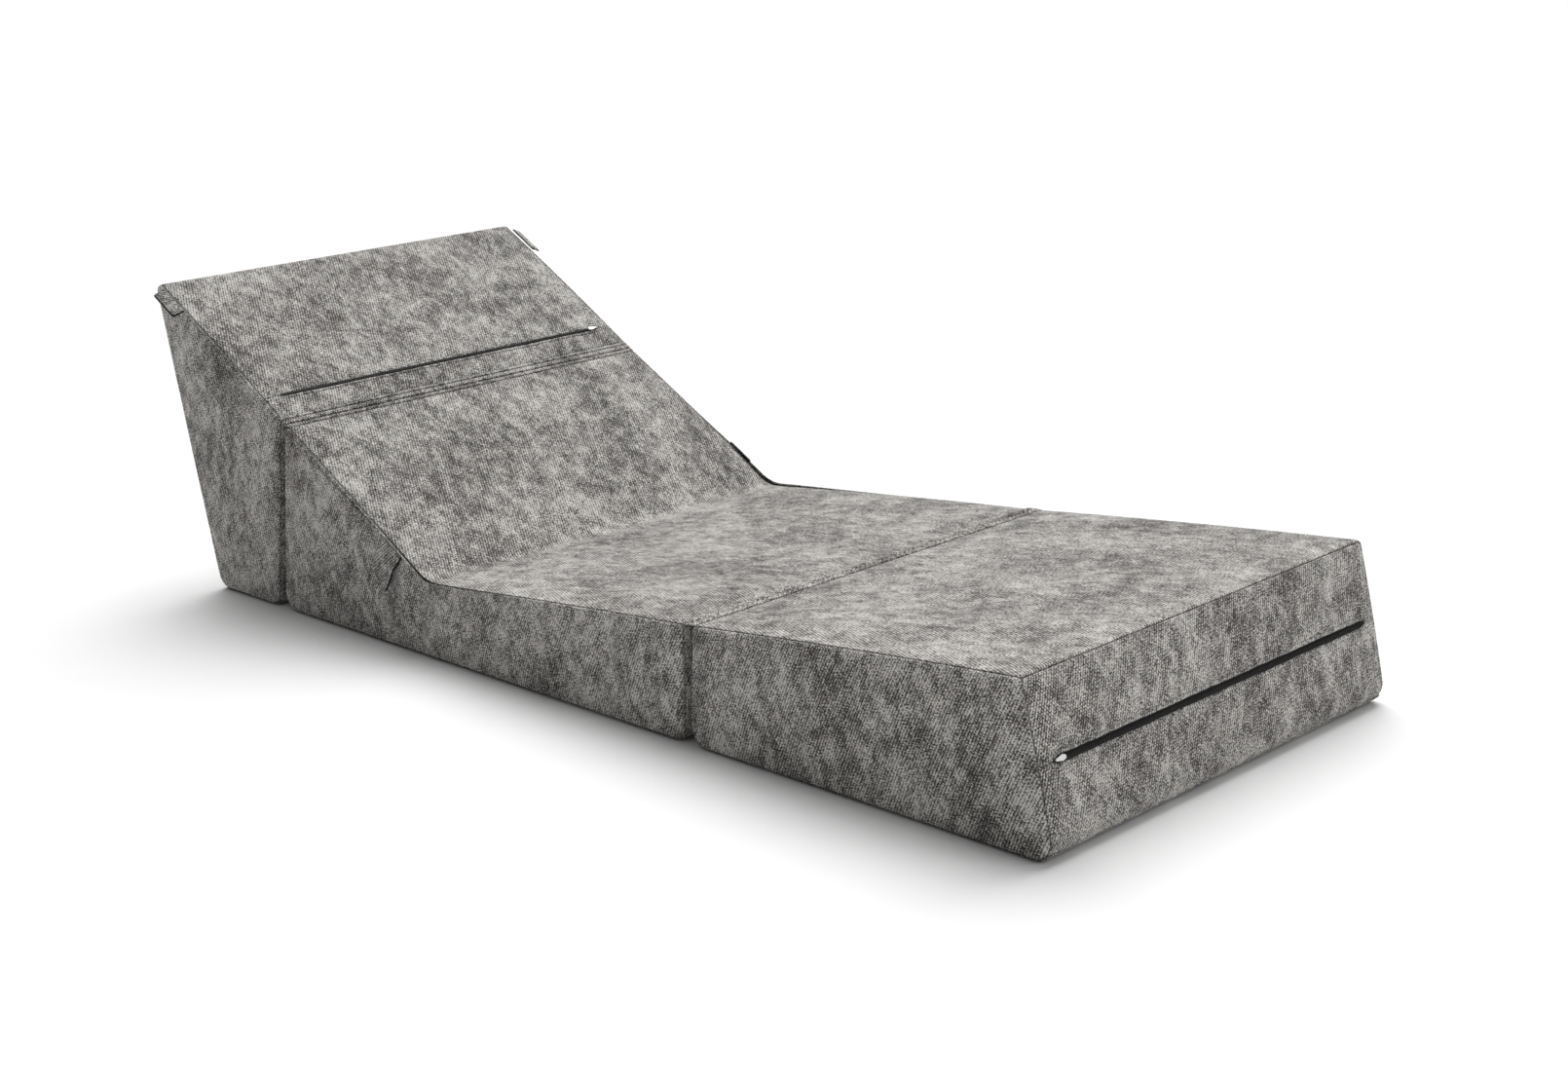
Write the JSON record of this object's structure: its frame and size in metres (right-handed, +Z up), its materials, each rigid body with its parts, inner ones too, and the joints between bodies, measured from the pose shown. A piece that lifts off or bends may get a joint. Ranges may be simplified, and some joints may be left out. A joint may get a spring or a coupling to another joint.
{
  "type": "convertible chair bed",
  "caption": "Folding foam chair bed, unfolded as a lounger: wedge head block, seat block with a rising back and sloping foot block in zipped woven covers, joined by cloth hinges.",
  "frame": {"origin": "middle of the seat block's underside, on the floor", "axes": "+X from the head block to the foot block, +Y to the sitter's left, +Z up"},
  "size_m": [1.7933, 0.7338, 0.4818],
  "materials": {
    "cover_cloth": "matte",
    "cover_cloth_plain": "matte",
    "hinge_cloth": "matte",
    "foam": "matte",
    "zip_black": "matte",
    "zip_slider": "satin",
    "hook_pad": "matte"
  },
  "bodies": {
    "foot_block": {"foot_base": "cover_cloth_plain", "foot_foam": "foam", "foot_front_lower": "cover_cloth", "foot_front_upper": "cover_cloth", "foot_left_side": "cover_cloth", "foot_rear": "cover_cloth_plain", "foot_right_side": "cover_cloth", "foot_top": "cover_cloth", "foot_zip_stops": "zip_black", "foot_zip_tape_front_lower": "zip_black", "foot_zip_tape_front_upper": "zip_black"},
    "foot_zip_slider": {"foot_zip_slider": "zip_slider"},
    "head_block": {"head_backrest": "cover_cloth_plain", "head_base": "cover_cloth_plain", "head_foam": "foam", "head_front": "cover_cloth_plain", "head_left_side": "cover_cloth", "head_right_side": "cover_cloth", "head_slope_band": "cover_cloth", "head_slope_main": "cover_cloth", "head_zip_stops": "zip_black", "head_zip_tape_slope_band": "zip_black", "head_zip_tape_slope_main": "zip_black"},
    "seat_block": {"head_seat_hinge_strip": "hinge_cloth", "seat_base": "cover_cloth_plain", "seat_foam": "foam", "seat_foot_hinge_strip": "hinge_cloth", "seat_front": "cover_cloth_plain", "seat_left_side": "cover_cloth", "seat_rear_lower": "cover_cloth_plain", "seat_rear_upper": "cover_cloth_plain", "seat_right_side": "cover_cloth", "seat_top": "cover_cloth", "seat_zip_stops": "zip_black", "seat_zip_tape_rear_lower": "zip_black", "seat_zip_tape_rear_upper": "zip_black"},
    "head_tab_left": {"head_tab_hook_pad_left": "hook_pad", "head_tab_left": "cover_cloth"},
    "head_tab_right": {"head_tab_hook_pad_right": "hook_pad", "head_tab_right": "cover_cloth"},
    "head_zip_slider": {"head_zip_slider": "zip_slider"},
    "seat_tab_left": {"seat_tab_hook_pad_left": "hook_pad", "seat_tab_left": "cover_cloth"},
    "seat_tab_right": {"seat_tab_hook_pad_right": "hook_pad", "seat_tab_right": "cover_cloth"},
    "seat_zip_slider": {"seat_zip_slider": "zip_slider"}
  },
  "joints": [
    {"name": "head_fold", "type": "hinge", "parent": "seat_block", "child": "head_block", "pos_m": [-0.41224, 0, 0.30717], "axis": [0, 1, 0], "range_deg": [0, 180], "deforming": ["head_seat_hinge_strip"]},
    {"name": "foot_fold", "type": "hinge", "parent": "seat_block", "child": "foot_block", "pos_m": [0.46831, 0, 0.16969], "axis": [0, -1, 0], "range_deg": [0, 180], "deforming": ["seat_foot_hinge_strip"]},
    {"name": "head_tab_right_flap", "type": "hinge", "parent": "head_block", "child": "head_tab_right", "pos_m": [-0.6825, -0.3485, 0.45905], "axis": [0.8678, 0, -0.497], "range_deg": [-30, 25]},
    {"name": "seat_tab_right_flap", "type": "hinge", "parent": "seat_block", "child": "seat_tab_right", "pos_m": [-0.15434, -0.3516, 0.15586], "axis": [-0.8678, 0, 0.497], "range_deg": [0, 100]},
    {"name": "head_tab_left_flap", "type": "hinge", "parent": "head_block", "child": "head_tab_left", "pos_m": [-0.6825, 0.3485, 0.45905], "axis": [-0.8678, 0, 0.497], "range_deg": [-30, 25]},
    {"name": "seat_tab_left_flap", "type": "hinge", "parent": "seat_block", "child": "seat_tab_left", "pos_m": [-0.15434, 0.3516, 0.15586], "axis": [0.8678, 0, -0.497], "range_deg": [0, 100]},
    {"name": "head_zip_slide", "type": "slide", "parent": "head_block", "child": "head_zip_slider", "axis": [0, -1, 0], "range_m": [0, 0.61]},
    {"name": "seat_zip_slide", "type": "slide", "parent": "seat_block", "child": "seat_zip_slider", "axis": [0, -1, 0], "range_m": [0, 0.61]},
    {"name": "foot_zip_slide", "type": "slide", "parent": "foot_block", "child": "foot_zip_slider", "axis": [0, 1, 0], "range_m": [0, 0.61]}
  ]
}
